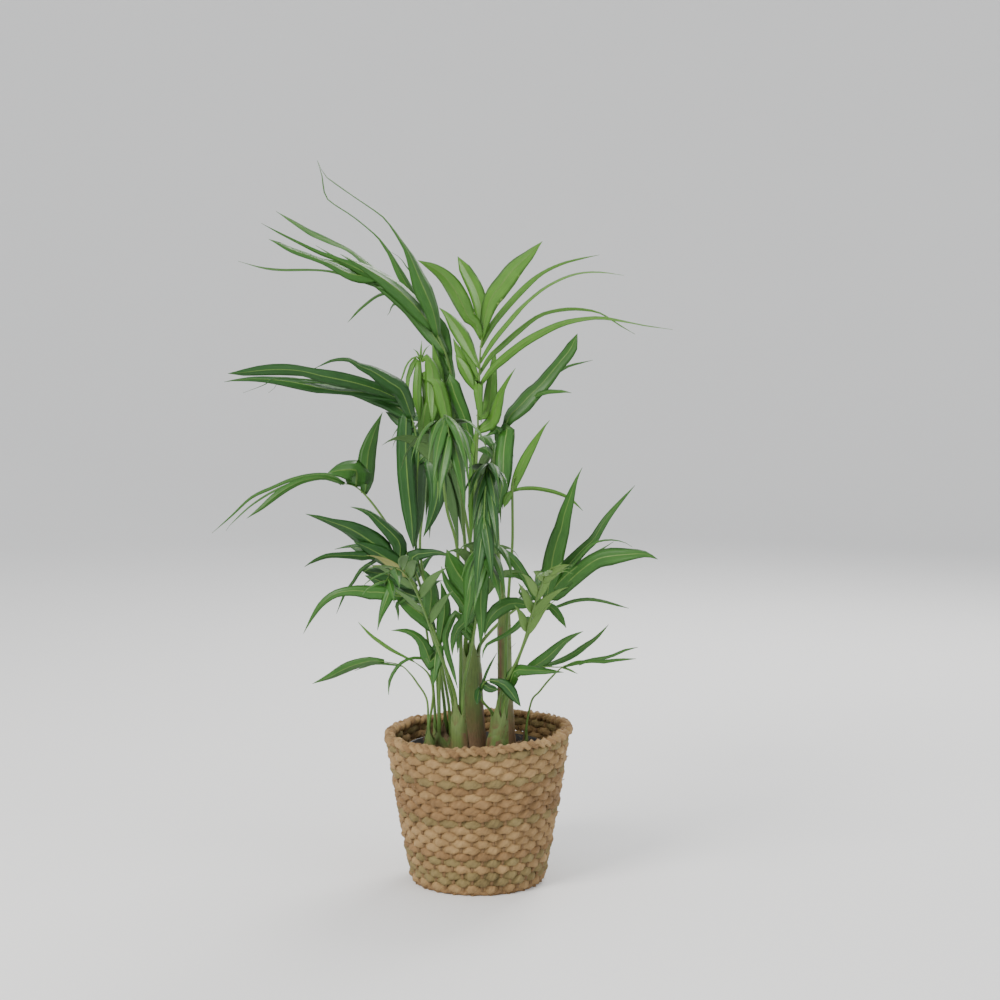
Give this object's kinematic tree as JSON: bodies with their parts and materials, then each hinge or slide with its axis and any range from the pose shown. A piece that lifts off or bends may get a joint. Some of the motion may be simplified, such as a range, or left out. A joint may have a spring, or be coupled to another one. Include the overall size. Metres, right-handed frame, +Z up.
{
  "type": "potted kentia palm",
  "caption": "Young kentia palm of several stems in a grow pot, set in a round woven basket, with arching feathery fronds.",
  "frame": {"origin": "centre of the basket's flat underside, on the surface that the plant stands on", "axes": "+Z up along the plant, +X to the right and +Y away from someone facing the plant's front"},
  "size_m": [0.6014, 0.5469, 0.9416],
  "materials": {
    "weave": "matte",
    "plastic": "satin",
    "soil": "matte",
    "stem": "matte",
    "petiole": "satin",
    "leaf": "satin"
  },
  "bodies": {
    "root": {"basket": "weave", "grow_pot": "plastic", "soil": "soil", "stem_back": "stem", "stem_front_left": "stem", "stem_front_right": "stem", "stem_left": "stem", "stem_right": "stem", "stem_small_left": "stem", "stem_small_right": "stem", "petiole_back_centre": "petiole", "petiole_back_right": "petiole", "petiole_basal_right": "petiole", "petiole_centre_star": "petiole", "petiole_front_centre": "petiole", "petiole_front_right_arch": "petiole", "petiole_left_single": "petiole", "petiole_low_back_left": "petiole", "petiole_low_back_right": "petiole", "petiole_low_centre": "petiole", "petiole_low_front_left": "petiole", "petiole_low_front_right": "petiole", "petiole_low_left_arch": "petiole", "petiole_low_left_thin": "petiole", "petiole_reaching_left": "petiole", "petiole_right_low": "petiole", "petiole_right_middle": "petiole", "petiole_right_slim": "petiole", "petiole_right_tiny": "petiole", "petiole_star_lower": "petiole", "petiole_star_upper": "petiole", "petiole_top_centre": "petiole", "petiole_top_left": "petiole", "petiole_upper_right": "petiole", "frond_back_centre": "leaf", "frond_back_right": "leaf", "frond_basal_right": "leaf", "frond_centre_star": "leaf", "frond_front_centre": "leaf", "frond_front_right_arch": "leaf", "frond_left_single": "leaf", "frond_low_back_left": "leaf", "frond_low_back_right": "leaf", "frond_low_centre": "leaf", "frond_low_front_left": "leaf", "frond_low_front_right": "leaf", "frond_low_left_arch": "leaf", "frond_low_left_thin": "leaf", "frond_reaching_left": "leaf", "frond_right_low": "leaf", "frond_right_middle": "leaf", "frond_right_slim": "leaf", "frond_right_tiny": "leaf", "frond_star_lower": "leaf", "frond_star_upper": "leaf", "frond_top_centre": "leaf", "frond_top_left": "leaf", "frond_upper_right": "leaf"}
  },
  "joints": []
}
